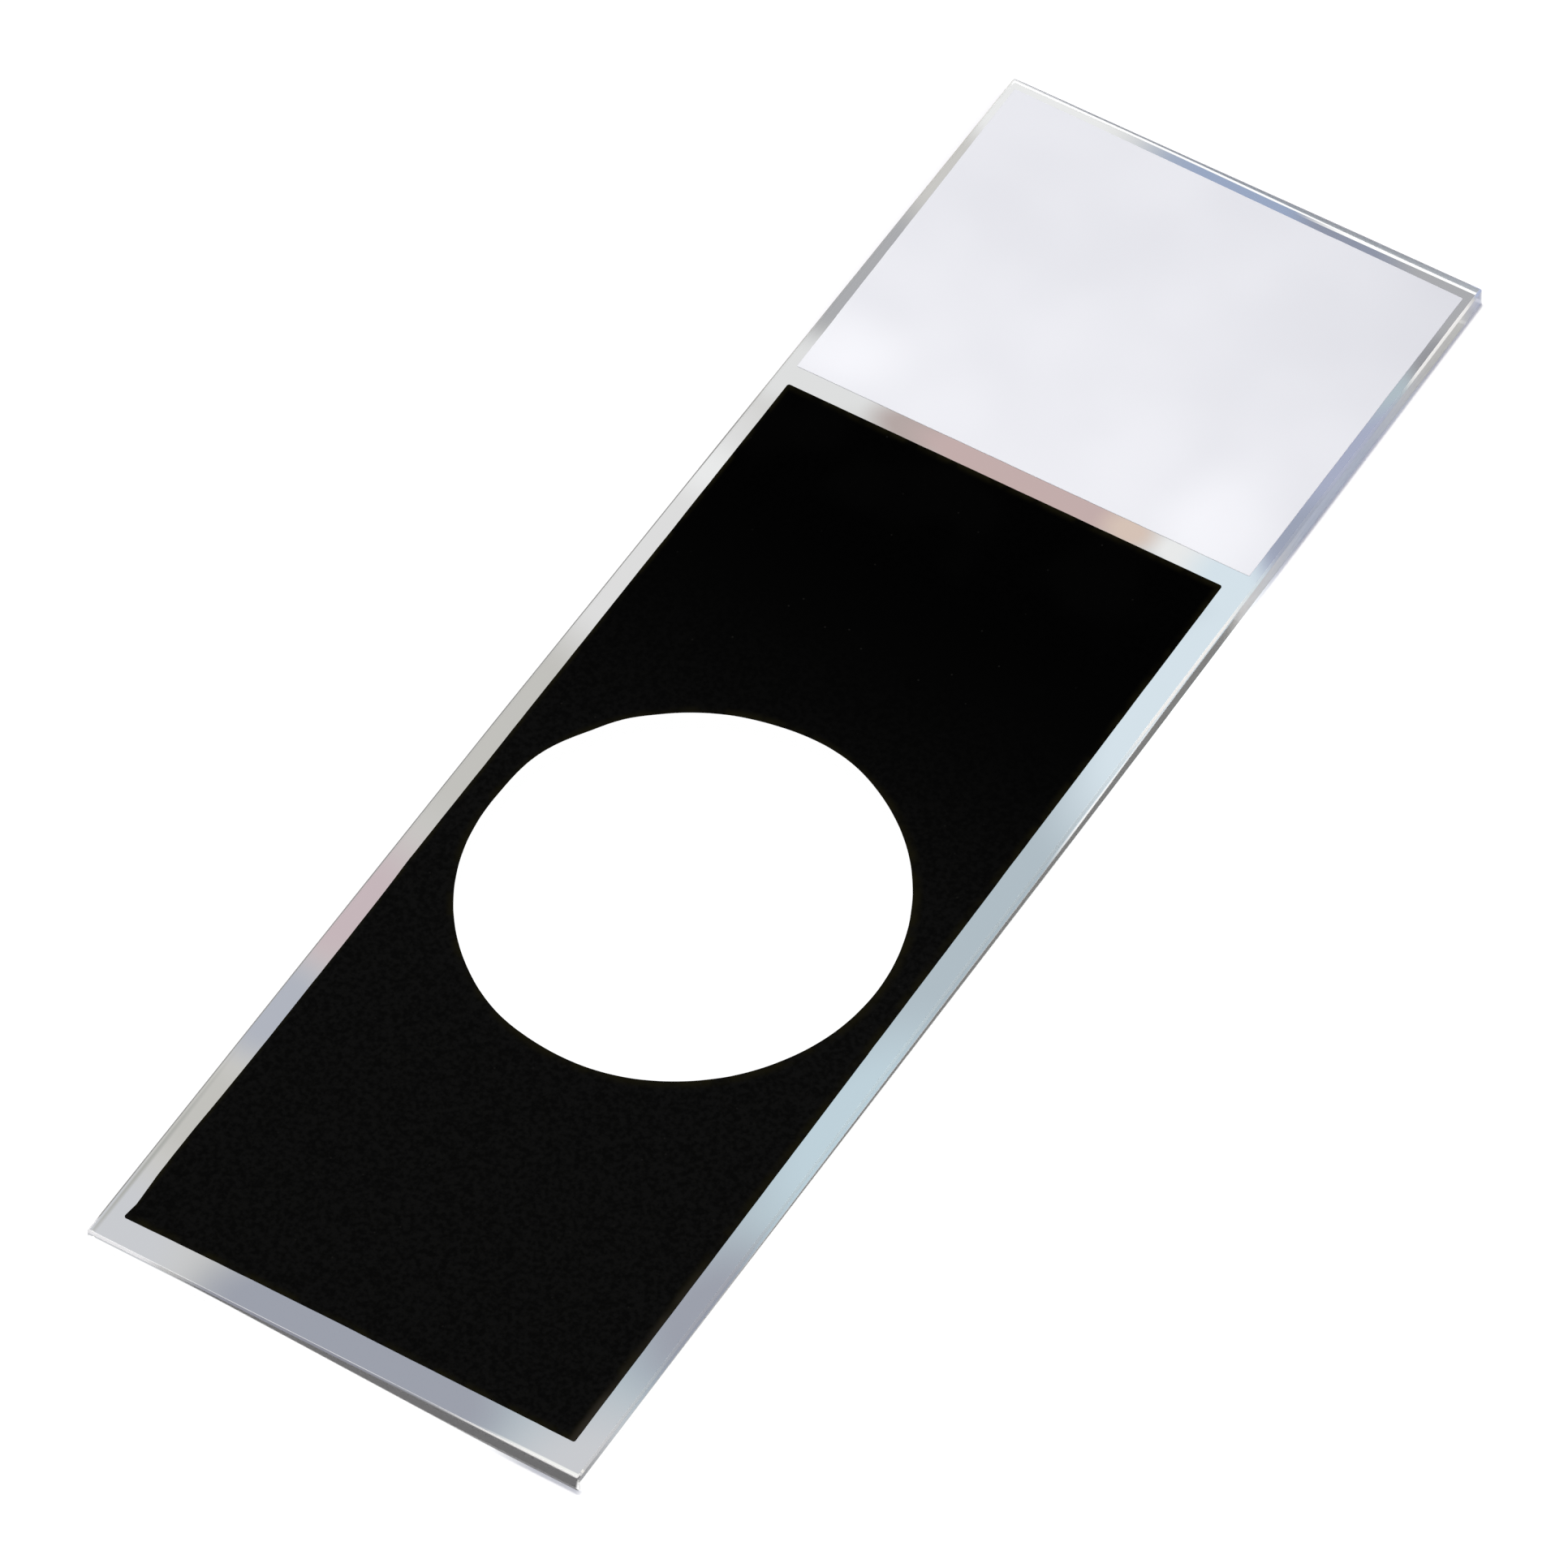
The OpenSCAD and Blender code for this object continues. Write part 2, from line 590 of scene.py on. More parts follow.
    def _painted_tone_colour(self, sheet: ShaderSheet, here: Place) -> Wire:
        """The colour that carries the painted shade and reflections; with the mirrored light it
        shows the tint.

        Args:
            sheet: The material's nodes.
            here: The point that is shaded.

        Returns:
            The colour, squared because a clear face passes its square root.
        """
        bare = sheet.shift(self.tint(sheet, here), (-self.mirrored,) * 3)
        scaled = sheet.stretch(bare, (1 / self.passed,) * 3)
        painted_tone = sheet.stretch(scaled, scaled)
        glass = self.layout.glass.in_mm
        off_face = here.z.rises(*reversed(self.face_ends))
        far = here.y.past(glass.far, self.far_white) * off_face
        far = far * here.x.rises(*self.far_white_along)
        right = here.x.past(glass.right, self.right_white)
        wide = here.x.past(glass.right, self.wide_white) * here.y.rises(*self.wide_white_along)
        right = (right | wide) * here.y.rises(*self.right_white_along)
        near = here.y.past(glass.near, self.near_white)
        return sheet.blend(far | right | near, painted_tone, WHITE)

    def _painted_tone_share(self, sheet: ShaderSheet, here: Place) -> Wire:
        """Where the painted shade and reflections lie: on the underside and its chamfers, but not
        in the well.

        Args:
            sheet: The material's nodes.
            here: The point that is shaded.

        Returns:
            1 on the veil and 0 elsewhere.
        """
        middle = self.layout.mask.in_mm.middle
        radius = self.layout.well_radius / MM + self.bare_mm
        in_well = sheet.disc(here.at, middle, radius, self.bare_soft_mm)
        mirrored = sheet.add("ShaderNodeFresnel", None, {"IOR": GLASS_REFRACTION})
        flat = here.z.rises(*self.face_ends) * (1 - mirrored.rises(*self.mirror_ends))
        chamfer = here.z.rises(*self.chamfer_from) * here.z.rises(*self.chamfer_to)
        return (flat | chamfer) * (1 - in_well)


@dataclass(frozen=True)
class CutShade:
    """How far the sides and their chamfers dim the light that falls through them.

    Attributes:
        light: The light that comes through where they dim it most.
        near_share: How much of this the right part of the near side does.
        near_along: Where along x that part begins, in millimetres.
        along: Where along y the other sides begin to do it.
    """

    light: Colour = (0.20, 0.22, 0.30)
    near_share: float = 0.66
    near_along: Pair = (7.5, 10.5)
    along: Pair = (15.0, 22.5)

    def depth(self, here: Place, on_near: Wire) -> Wire:
        """How far the light is dimmed, where on_near is 1 on the near side."""
        near_part = on_near * here.x.rises(*self.near_along) * self.near_share
        return near_part | here.y.rises(*self.along)

    def over(self, sheet: ShaderSheet, depth: Wire) -> Wire:
        """The shader that the light meets."""
        return sheet.mix_shaders(depth, sheet.let_through(CLEAR), sheet.let_through(self.light))


@dataclass(frozen=True)
class CleanCut:
    """Where the sides are cut so cleanly that one looks straight through them.

    These are the lower part of the right side, which narrows away from the near end, the band
    over it, the left part of the near side and the tip at its right end. Pairs are soft steps
    and lengths are in millimetres.

    Attributes:
        soft: How softly each part begins.
        right_ends: The right side, counted from its plane.
        near_ends: The near side, counted from its plane.
        foot: How high the lower part goes in the middle, and how much that rises with y.
        band: How high the band begins at its near end, and how much higher at its far end.
        band_climbs: Where along y it climbs.
        band_stops: Where along y it stops.
        band_pales: Where along y, by the near end, it is fainter.
        band_least: How much of it is left there.
        left: How high the left part goes in the middle, and how much that rises with x.
        tip: Where along x the tip begins at its foot, and how much farther on at its head.
    """

    soft: float = 0.07
    right_ends: Pair = (-0.15, -0.05)
    near_ends: Pair = (0.15, 0.05)
    foot: Pair = (0.145, -0.013)
    band: Pair = (0.57, 0.24)
    band_climbs: Pair = (1.0, 14.0)
    band_stops: Pair = (17.0, 15.0)
    band_pales: Pair = (-37.2, -34.0)
    band_least: float = 0.4
    left: Pair = (0.5, -0.05)
    tip: Pair = (12.36, 0.15)

    def share(self, here: Place, glass: Rect) -> Wire:
        """Tells the clean parts from the rest.

        Args:
            here: The point that is shaded.
            glass: The plate's outline, in millimetres.

        Returns:
            1 on the clean parts.
        """
        ends = (-self.soft, self.soft)
        on_right = here.x.past(glass.right, self.right_ends)
        foot = (here.y * self.foot[1] + self.foot[0] - here.z).rises(*ends)
        band = (here.z - here.y.rises(*self.band_climbs) * self.band[1] - self.band[0]).rises(*ends)
        pales = here.y.rises(*self.band_pales) * (1 - self.band_least) + self.band_least
        band = band * here.y.rises(*self.band_stops) * pales
        on_near = here.y.past(glass.near, self.near_ends)
        left = (here.x * self.left[1] + self.left[0] - here.z).rises(*ends)
        tip = (here.x - here.z * self.tip[1] - self.tip[0]).rises(*ends)
        return ((foot | band) * on_right * (1 - on_near)) | ((left | tip) * on_near)


@dataclass(frozen=True)
class CutGlass(Finish):
    """The sides of the plate: dark where they mirror the mask, elsewhere clear or under a rough
    layer of painted reflections.

    A bright line comes down along the far side from the left. Pairs are soft steps, in
    millimetres.

    Attributes:
        layout: Where the pieces lie.
        clean: Where the sides are clean.
        shade: How they dim the light.
        clear: The colour of the clear part.
        painted_reflection: The painted reflections along the plate: how far along it, in
            millimetres from its middle, and their colour there.
        dullness: How rough the layer of painted reflections is.
        least: How much of that layer lies all over.
        beside_field: How much more there is beside the writing field.
        beside_field_from: Where that begins, counted from the mask's far side.
        streaks: The pattern of that layer.
        streaks_stretch: By how much its streaks are drawn out, as factors on their grain.
        streaked: How much of that layer they make.
        near_ends: The near side, counted from its plane.
        pale: The paler painted reflection on the near side.
        foot: How much more of that layer lies along the foot of the near side.
        foot_ends: How high that goes.
        far_ends: The far side, counted from its plane.
        inner: The painted reflection on the far side, over the line, looked at through the glass.
        inner_along: Where along x it begins.
        line_height: How high the line begins at the left.
        line_along: Between which places along x it comes down to the foot.
        line_under: Where it begins, counted from its height.
        line_over: Where it ends, counted from its height.
    """

    layout: Layout
    clean: CleanCut = CleanCut()
    shade: CutShade = CutShade()
    clear: Colour = (0.93, 0.92, 0.90)
    painted_reflection: tuple[tuple[float, Colour], ...] = (
        (13.5, (0.18, 0.18, 0.09)),
        (16.5, (0.93, 0.92, 0.88)),
        (18.5, (0.84, 0.86, 0.87)),
        (22.0, (0.58, 0.66, 0.82)),
        (27.0, (0.57, 0.65, 0.81)),
        (30.0, (0.71, 0.75, 0.80)),
        (32.5, (0.73, 0.73, 0.69)),
        (35.5, (0.71, 0.71, 0.65)),
        (36.6, (0.66, 0.68, 0.76)),
        (37.4, (0.50, 0.56, 0.78)),
    )
    dullness: float = 0.45
    least: float = 0.11
    beside_field: float = 0.66
    beside_field_from: Pair = (-2.6, -0.2)
    streaks: Grain = Grain(0.6, seed=5.0)
    streaks_stretch: Triple = (0.5, 0.5, 4.0)
    streaked: float = 0.2
    near_ends: Pair = (0.3, 0.1)
    pale: Colour = (0.70, 0.69, 0.68)
    foot: float = 0.4
    foot_ends: Pair = (0.32, 0.18)
    far_ends: Pair = (-0.3, -0.1)
    inner: Colour = (0.90, 0.95, 1.0)
    inner_along: Pair = (-13.0, -7.0)
    line_height: float = 0.47
    line_along: Pair = (-6.5, 11.0)
    line_under: Pair = (-0.20, -0.12)
    line_over: Pair = (0.16, 0.08)

    material_name = "cut_glass"

    def surface(self, sheet: ShaderSheet) -> Wire:
        """Builds the shader.

        Args:
            sheet: The material's nodes.

        Returns:
            The shader.
        """
        here = sheet.place()
        glass, mask = self.layout.glass.in_mm, self.layout.mask.in_mm
        on_far = here.y.past(glass.far, self.far_ends)
        on_near = here.y.past(glass.near, self.near_ends)
        over_line = here.z - (self.line_height - here.x.rises(*self.line_along) * self.line_height)
        line = on_far * over_line.rises(*self.line_under) * over_line.rises(*self.line_over)
        inner = on_far * here.x.rises(*self.inner_along)
        inner = inner * over_line.rises(*reversed(self.line_over))

        # Painted reflections: a rough layer whose colours stand for what the sides reflect, paler
        # on the near side and along its foot.
        beside_field = here.y.past(mask.far, self.beside_field_from)
        streaks = self.streaks.on(sheet.stretch(here.at, self.streaks_stretch))
        painted_reflection = self.least + self.beside_field * beside_field
        painted_reflection = painted_reflection * (1 - self.streaked / 2 + self.streaked * streaks)
        painted_reflection = painted_reflection + self.foot * here.z.rises(*self.foot_ends) * on_near
        from_inside = sheet.add("ShaderNodeNewGeometry", out="Backfacing")
        painted_reflection = painted_reflection * (1 - from_inside) + inner * from_inside
        dull = sheet.principled(
            Base_Color=self._painted_reflection_colour(sheet, here, on_near, inner), Roughness=self.dullness
        )
        with_painted_reflection = sheet.mix_shaders(painted_reflection, sheet.glass(self.clear, GLASS_REFRACTION), dull)

        clean = self.clean.share(here, glass)
        open_part = clean * (1 - from_inside) + line * from_inside
        seen = sheet.mix_shaders(open_part, with_painted_reflection, sheet.let_through(WHITE))
        dim = self.shade.depth(here, on_near) * (1 - from_inside) * (1 - clean)
        plain = self.shade.over(sheet, dim)
        return sheet.mix_shaders(sheet.ray_is("Shadow", "Diffuse"), seen, plain)

    def _painted_reflection_colour(self, sheet: ShaderSheet, here: Place, on_near: Wire, inner: Wire) -> Wire:
        """The colour of the painted reflections.

        Args:
            sheet: The material's nodes.
            here: The point that is shaded.
            on_near: 1 on the near side.
            inner: 1 where the far side has its own painted reflection.

        Returns:
            The colour.
        """
        glass = self.layout.glass.in_mm
        stops = [((y - glass.near) / glass.span[1], colour) for y, colour in self.painted_reflection]
        along = (here.y - glass.near) / glass.span[1]
        colour = sheet.add("ShaderNodeValToRGB", {"stops": stops}, {0: along})
        return sheet.blend(inner, sheet.blend(on_near, colour, self.pale), self.inner)


@dataclass(frozen=True)
class PaintedLightSpot:
    """A soft oval along the chamfers where painted light gives them a colour of their own, in
    millimetres.
    """

    colour: Colour
    middle: Pair
    reach: Pair
    core: float = 0.5


@dataclass(frozen=True)
class GroundGlass(Finish):
    """The finely ground chamfers, a shade paler than the glass that they border.

    They take on the painted shade and reflections of that glass, and carry painted light of their
    own: pale spots as highlights, and dark spots, the lower chamfers and the near one's lip as
    shade. Pairs are soft steps, in millimetres.

    Attributes:
        beside: The glass that they border.
        shade: How they dim the light.
        gain: How much paler and warmer they are.
        low_gain: The same for the lower ones, which it makes darker as painted shade.
        low_ends: How high those go.
        places: Painted light on them: pale spots as highlights, dark ones as shade, and a blue one
            at
        the far right corner as a reflection.
        scratches: The pattern of the grinding.
        scratch_mm: How deep it goes.
        scratched: How much of it shows.
        patches: The pattern in which those places are strong.
        patched: How strong they are at least, and how much more in the patches.
        dullness: How rough the grinding is, and how much that changes.
        near_ends: The near side, counted from its plane.
        lip: The colour of the near one's outer half, which borders the dark side: painted shade.
        lip_top: How high it goes at the left, and how much higher at the right.
        lip_climbs: Where along x it climbs.
        lip_soft: How softly it ends.
        lip_from: Where along x it begins.
    """

    beside: ClearGlass
    shade: CutShade = CutShade()
    gain: Colour = (1.02, 1.01, 0.97)
    low_gain: Colour = (0.88, 0.87, 0.83)
    low_ends: Pair = (0.13, 0.10)
    places: tuple[PaintedLightSpot, ...] = (
        PaintedLightSpot((0.95, 0.94, 0.91), (12.0, -37.5), (8.0, 0.4)),
        PaintedLightSpot((0.93, 0.92, 0.88), (12.5, 12.0), (1.0, 6.0)),
        PaintedLightSpot((0.95, 0.94, 0.91), (12.5, 33.9), (1.0, 3.6), 0.55),
        PaintedLightSpot((0.26, 0.26, 0.25), (-12.5, -10.0), (0.5, 40.0), 0.6),
        PaintedLightSpot((0.30, 0.31, 0.35), (0.0, 37.5), (13.0, 0.5), 0.9),
        PaintedLightSpot((0.45, 0.51, 0.68), (12.5, 37.5), (0.8, 0.8)),
        PaintedLightSpot((0.29, 0.30, 0.35), (-2.0, -37.5), (6.5, 0.4)),
        PaintedLightSpot(WHITE, (-12.5, -37.5), (4.2, 1.0), 0.6),
    )
    scratches: Grain = Grain(0.12)
    scratch_mm: float = 0.003
    scratched: float = 0.3
    patches: Grain = Grain(6.0, 1.0, 9.0)
    patched: Pair = (0.8, 0.3)
    dullness: Pair = (0.5, 0.2)
    near_ends: Pair = (0.3, 0.2)
    lip: Colour = (0.17, 0.17, 0.17)
    lip_top: Pair = (0.92, 0.035)
    lip_climbs: Pair = (-3.0, 6.0)
    lip_soft: float = 0.015
    lip_from: Pair = (-8.6, -6.4)

    material_name = "ground_glass"

    def surface(self, sheet: ShaderSheet) -> Wire:
        """Builds the shader.

        Args:
            sheet: The material's nodes.

        Returns:
            The shader.
        """
        here = sheet.place()
        scratches = self.scratches.on(here.at)
        patches = self.patched[0] + self.patched[1] * self.patches.on(here.at)
        tint = self.beside.tint(sheet, here)
        tone = sheet.stretch(tint, self.gain)
        # Painted highlights and shade: pale and dark spots along the chamfers.
        for place in self.places:
            share = sheet.oval(here.at, place.middle, place.reach, place.core)
            tone = sheet.blend(share * patches, tone, place.colour)
        # Painted shade: the lower chamfers darker.
        tone = sheet.blend(here.z.rises(*self.low_ends), tone, sheet.stretch(tint, self.low_gain))
        on_near = here.y.past(self.beside.layout.glass.in_mm.near, self.near_ends)
        # Painted shade: a dark band on the near chamfer's outer half.
        under_top = here.x.rises(*self.lip_climbs) * self.lip_top[1] + self.lip_top[0] - here.z
        lip = under_top.rises(-self.lip_soft, self.lip_soft)
        lip = lip * here.x.rises(*self.lip_from) * on_near
        ground = sheet.principled(
            Base_Color=sheet.blend(lip, tone, self.lip),
            Roughness=self.dullness[0] + self.dullness[1] * scratches,
            IOR=GLASS_REFRACTION,
            Normal=sheet.bump(scratches, self.scratch_mm, self.scratched),
        )
        plain = self.shade.over(sheet, self.shade.depth(here, on_near))
        return sheet.mix_shaders(sheet.ray_is("Shadow"), ground, plain)


@dataclass(frozen=True)
class MaskInk(Finish):
    """Matte black water-repelling ink, a shade darker in its far half.

    Attributes:
        layout: Where the pieces lie.
        darker_black: The ink where it is darkest.
        lighter_black: The ink where it is lighter.
        lighter_ends: Between which places along y it grows lighter, in millimetres.
        patches: Where in the far half it is lighter too.
        patched: How much lighter.
        grain: Its fine grain.
        grained: How much of the lighter ink shows the grain.
        rim: The ink along its outer edges, which lies thinner there and is a little olive.
        rims_mm: How wide that is at the left, the near side, the right, the far side and the
            well.
        streaks: Where along its edges the rim shows.
        streaked: How much of it shows at least, and how much more in the streaks.
        worn: The ink along the near end of its right edge, where the screen left least of it.
        worn_mm: How wide that is.
        worn_ends: Where along the edge it ends, counted from the near side.
        worn_patches: Where in there it shows.
        dust: The colour of the dust in it.
        dust_mm: How far apart the grains of dust lie, and their radius.
        dust_seed: Another number gives other places.
        dusty: Where the dust lies.
        dullness: How rough the ink is, and how much that changes.
        gloss: How much it mirrors.
        relief: The depth of its grain in millimetres, and how much of that shows.
    """

    layout: Layout
    darker_black: Colour = (0.0003, 0.0003, 0.0003)
    lighter_black: Colour = (0.0048, 0.0048, 0.0046)
    lighter_ends: Pair = (12.0, -10.0)
    patches: Grain = Grain(5.0, 1.0, 11.0, (0.45, 0.65))
    patched: float = 0.15
    grain: Grain = Grain(0.24, ends=(0.32, 0.68))
    grained: float = 0.6
    rim: Colour = (0.0085, 0.0075, 0.0030)
    rims_mm: tuple[float, float, float, float, float] = (0.3, 0.4, 0.5, 0.45, 0.5)
    streaks: Grain = Grain(1.1, seed=31.0, ends=(0.35, 0.6))
    streaked: Pair = (0.15, 0.7)
    worn: Colour = (0.022, 0.019, 0.014)
    worn_mm: float = 0.35
    worn_ends: Pair = (14.0, 4.0)
    worn_patches: Grain = Grain(3.0, seed=31.0, ends=(0.3, 0.6))
    dust: Colour = (0.0085, 0.0082, 0.0075)
    dust_mm: Pair = (2.6, 0.06)
    dust_seed: float = 17.0
    dusty: Grain = Grain(4.0, 0.0, 41.0, (0.4, 0.65))
    dullness: Pair = (0.75, 0.15)
    gloss: float = 0.005
    relief: Pair = (0.003, 0.6)

    material_name = "black_ink"

    def surface(self, sheet: ShaderSheet) -> Wire:
        """Builds the shader.

        Args:
            sheet: The material's nodes.

        Returns:
            The shader.
        """
        here = sheet.place()
        mask = self.layout.mask.in_mm
        grain = self.grain.on(here.at)
        lightness = here.y.rises(*self.lighter_ends) | self.patched * self.patches.on(here.at)
        lightness = lightness * (1 - self.grained + self.grained * grain)
        tone = sheet.blend(lightness, self.darker_black, self.lighter_black)
        left, near, right, far, round_well = self.rims_mm
        radius = self.layout.well_radius / MM
        edges = (
            here.x.rises(mask.left + left, mask.left)
            | here.x.rises(mask.right - right, mask.right)
            | here.y.rises(mask.far - far, mask.far)
            | here.y.rises(mask.near + near, mask.near)
            | sheet.disc(here.at, mask.middle, radius, round_well)
        )
        streaks = self.streaked[0] + self.streaked[1] * self.streaks.on(here.at)
        tone = sheet.blend(edges * streaks, tone, self.rim)
        worn = here.x.rises(mask.right - self.worn_mm, mask.right)
        worn = worn * here.y.past(mask.near, self.worn_ends)
        tone = sheet.blend(worn * self.worn_patches.on(here.at), tone, self.worn)
        dust = sheet.specks(here.at, *self.dust_mm, self.dust_seed) * self.dusty.on(here.at)
        return sheet.principled(
            Base_Color=sheet.blend(dust, tone, self.dust),
            Roughness=self.dullness[0] + self.dullness[1] * grain,
            Specular_IOR_Level=self.gloss,
            Normal=sheet.bump(grain, *self.relief),
        )


@dataclass(frozen=True)
class FieldInk(Finish):
    """Satin white ink that takes a pencil, with painted sheen that makes it brighter towards its
    near end.

    Attributes:
        layout: Where the pieces lie.
        bright: The ink at its brightest.
        dull: The ink at its dullest.
        least: How bright it is all over, from 0 to 1.
        nearer: How much brighter the painted sheen makes its near end.
        inwards: How much brighter the painted sheen makes it away from its right side.
        inwards_to_mm: Where along x that is full.
        cloud: Its broad unevenness.
        clouded: How much of that shows.
        sheen_spots: Spots of painted sheen, brighter or darker by the sign of the weight, in
            millimetres, as middle, reach and weight.
        sheen_spot_core: The share of such a spot that is full.
        grain: Its tooth.
        dullness: How rough the ink is, and how much that changes.
        gloss: How much it mirrors.
        relief: The depth of its tooth in millimetres, and how much of that shows.
    """

    layout: Layout
    bright: Colour = (0.935, 0.945, 0.975)
    dull: Colour = (0.68, 0.69, 0.73)
    least: float = 0.10
    nearer: float = 0.20
    inwards: float = 0.13
    inwards_to_mm: float = 2.0
    cloud: Grain = Grain(6.0, 1.0, 4.0, (0.25, 0.75))
    clouded: float = 0.16
    sheen_spots: tuple[tuple[Pair, Pair, float], ...] = (
        ((9.3, 20.0), (3.6, 5.5), 0.30),
        ((-10.8, 20.0), (4.5, 3.5), 0.26),
        ((11.5, 35.5), (5.5, 7.5), -0.16),
    )
    sheen_spot_core: float = 0.2
    grain: Grain = Grain(0.05, 3.0, 2.0)
    dullness: Pair = (0.45, 0.12)
    gloss: float = 0.4
    relief: Pair = (0.002, 0.5)

    material_name = "white_ink"

    def surface(self, sheet: ShaderSheet) -> Wire:
        """Builds the shader.

        Args:
            sheet: The material's nodes.

        Returns:
            The shader.
        """
        here = sheet.place()
        white = self.layout.white.in_mm
        cloud = self.cloud.on(here.at)
        grain = self.grain.on(here.at)
        # Painted sheen: brighter towards the near end, away from the right side and in the pools;
        # the cloud is the ink's own unevenness.
        body = self.clouded * cloud + self.nearer * here.y.rises(white.far, white.near)
        body = body + self.inwards * here.x.rises(white.right, self.inwards_to_mm) + self.least
        for middle, reach, weight in self.sheen_spots:
            body = body + weight * sheet.oval(here.at, middle, reach, self.sheen_spot_core)
        return sheet.principled(
            Base_Color=sheet.blend(body, self.dull, self.bright),
            Roughness=self.dullness[0] + self.dullness[1] * grain,
            Specular_IOR_Level=self.gloss,
            Normal=sheet.bump(grain, *self.relief),
        )


# --------------------------------------------------------------------------- modelling


class Workpiece:
    """A mesh that is modelled step by step in edit mode."""

    def __init__(self, name: str, add: Callable[..., object], **start: object) -> None:
        """Adds the primitive that the piece starts from and opens it for editing.

        Args:
            name: The piece's name.
            add: The operator that adds the primitive.
            **start: The operator's settings.
        """
        bpy.ops.object.select_all(action="DESELECT")
        add(**start)
        self.obj = bpy.context.active_object
        self.obj.name = self.obj.data.name = name
        bpy.ops.object.transform_apply(location=True, rotation=True, scale=True)
        bpy.ops.object.mode_set(mode="EDIT")

    def pick_edges(self, test: Callable[[bmesh.types.BMEdge], bool]) -> None:
        """Selects the edges that pass a test, and nothing else.

        Args:
            test: Takes an edge.
        """
        bpy.ops.mesh.select_mode(type="EDGE")
        bpy.ops.mesh.select_all(action="DESELECT")
        mesh = bmesh.from_edit_mesh(self.obj.data)
        for edge in mesh.edges:
            if test(edge):
                edge.select_set(True)
        bmesh.update_edit_mesh(self.obj.data)

    def nudge(self, move: Callable[[Vector], Vector]) -> None:
        """Moves every vertex.

        Args:
            move: Takes a vertex's place and returns its new one.
        """
        mesh = bmesh.from_edit_mesh(self.obj.data)
        for corner in mesh.verts:
            corner.co = move(corner.co)
        bmesh.update_edit_mesh(self.obj.data)

    def bevel(self, width: float, segments: int = 1, affect: str = "EDGES") -> None:
        """Bevels what is selected."""
        bpy.ops.mesh.bevel(
            offset=width, segments=segments, profile=0.5, affect=affect, clamp_overlap=False
        )

    def face_outwards(self) -> None:
        """Points every face outwards."""
        bpy.ops.mesh.select_all(action="SELECT")
        bpy.ops.mesh.normals_make_consistent(inside=False)

    def close(self, *materials: bpy.types.Material) -> bpy.types.Object:
        """Ends the editing and gives the piece its materials.

        Args:
            *materials: One material for each slot.

        Returns:
            The finished object.
        """
        self.face_outwards()
        bpy.ops.object.mode_set(mode="OBJECT")
        bpy.ops.object.shade_smooth_by_angle(angle=math.radians(SMOOTH_DEG))
        for material in materials:
            self.obj.data.materials.append(material)
        return self.obj


@dataclass(frozen=True)
class Wobble:
    """How an edge wanders: in long seeded waves with a ripple on them.

    Attributes:
        size: How far the long waves go to either side.
        wave: Their length.
        ripple: The size of the ripple, as a share of theirs.
        ripple_wave: The length of its waves.
        ripple_seed: How far its seed lies from theirs.
    """

    size: float
    wave: float
    ripple: float
    ripple_wave: float
    ripple_seed: float

    def at(self, place: Vector, seed: float) -> float:
        """How far the edge is off at a place.

        Args:
            place: The place.
            seed: Another number gives another wobble.

        Returns:
            The offset, in metres.
        """
        layers = (
            (self.size, self.wave, seed),
            (self.ripple * self.size, self.ripple_wave, seed + self.ripple_seed),
        )
        return sum(
            size * noise.noise(Vector((place.x / wave + start, place.y / wave - start, start)))
            for size, wave, start in layers
        )


def sideways(by: float) -> Vector:
    """A move along x."""
    return Vector((by, 0, 0))


def rise_of(edge: bmesh.types.BMEdge) -> float:
    """How much higher one end of an edge lies than the other."""
    return abs(edge.verts[0].co.z - edge.verts[1].co.z)


def report_piece(obj: bpy.types.Object) -> None:
    """Logs what a finished piece holds."""
    size = ", ".join(f"{side / MM:.3f}" for side in obj.dimensions)
    log.info("%s: %d faces, %s mm", obj.name, len(obj.data.polygons), size)


class GlassSlot(IntEnum):
    """The plate's material slots, in their order."""

    POLISHED = 0
    GROUND = 1
    CUT = 2


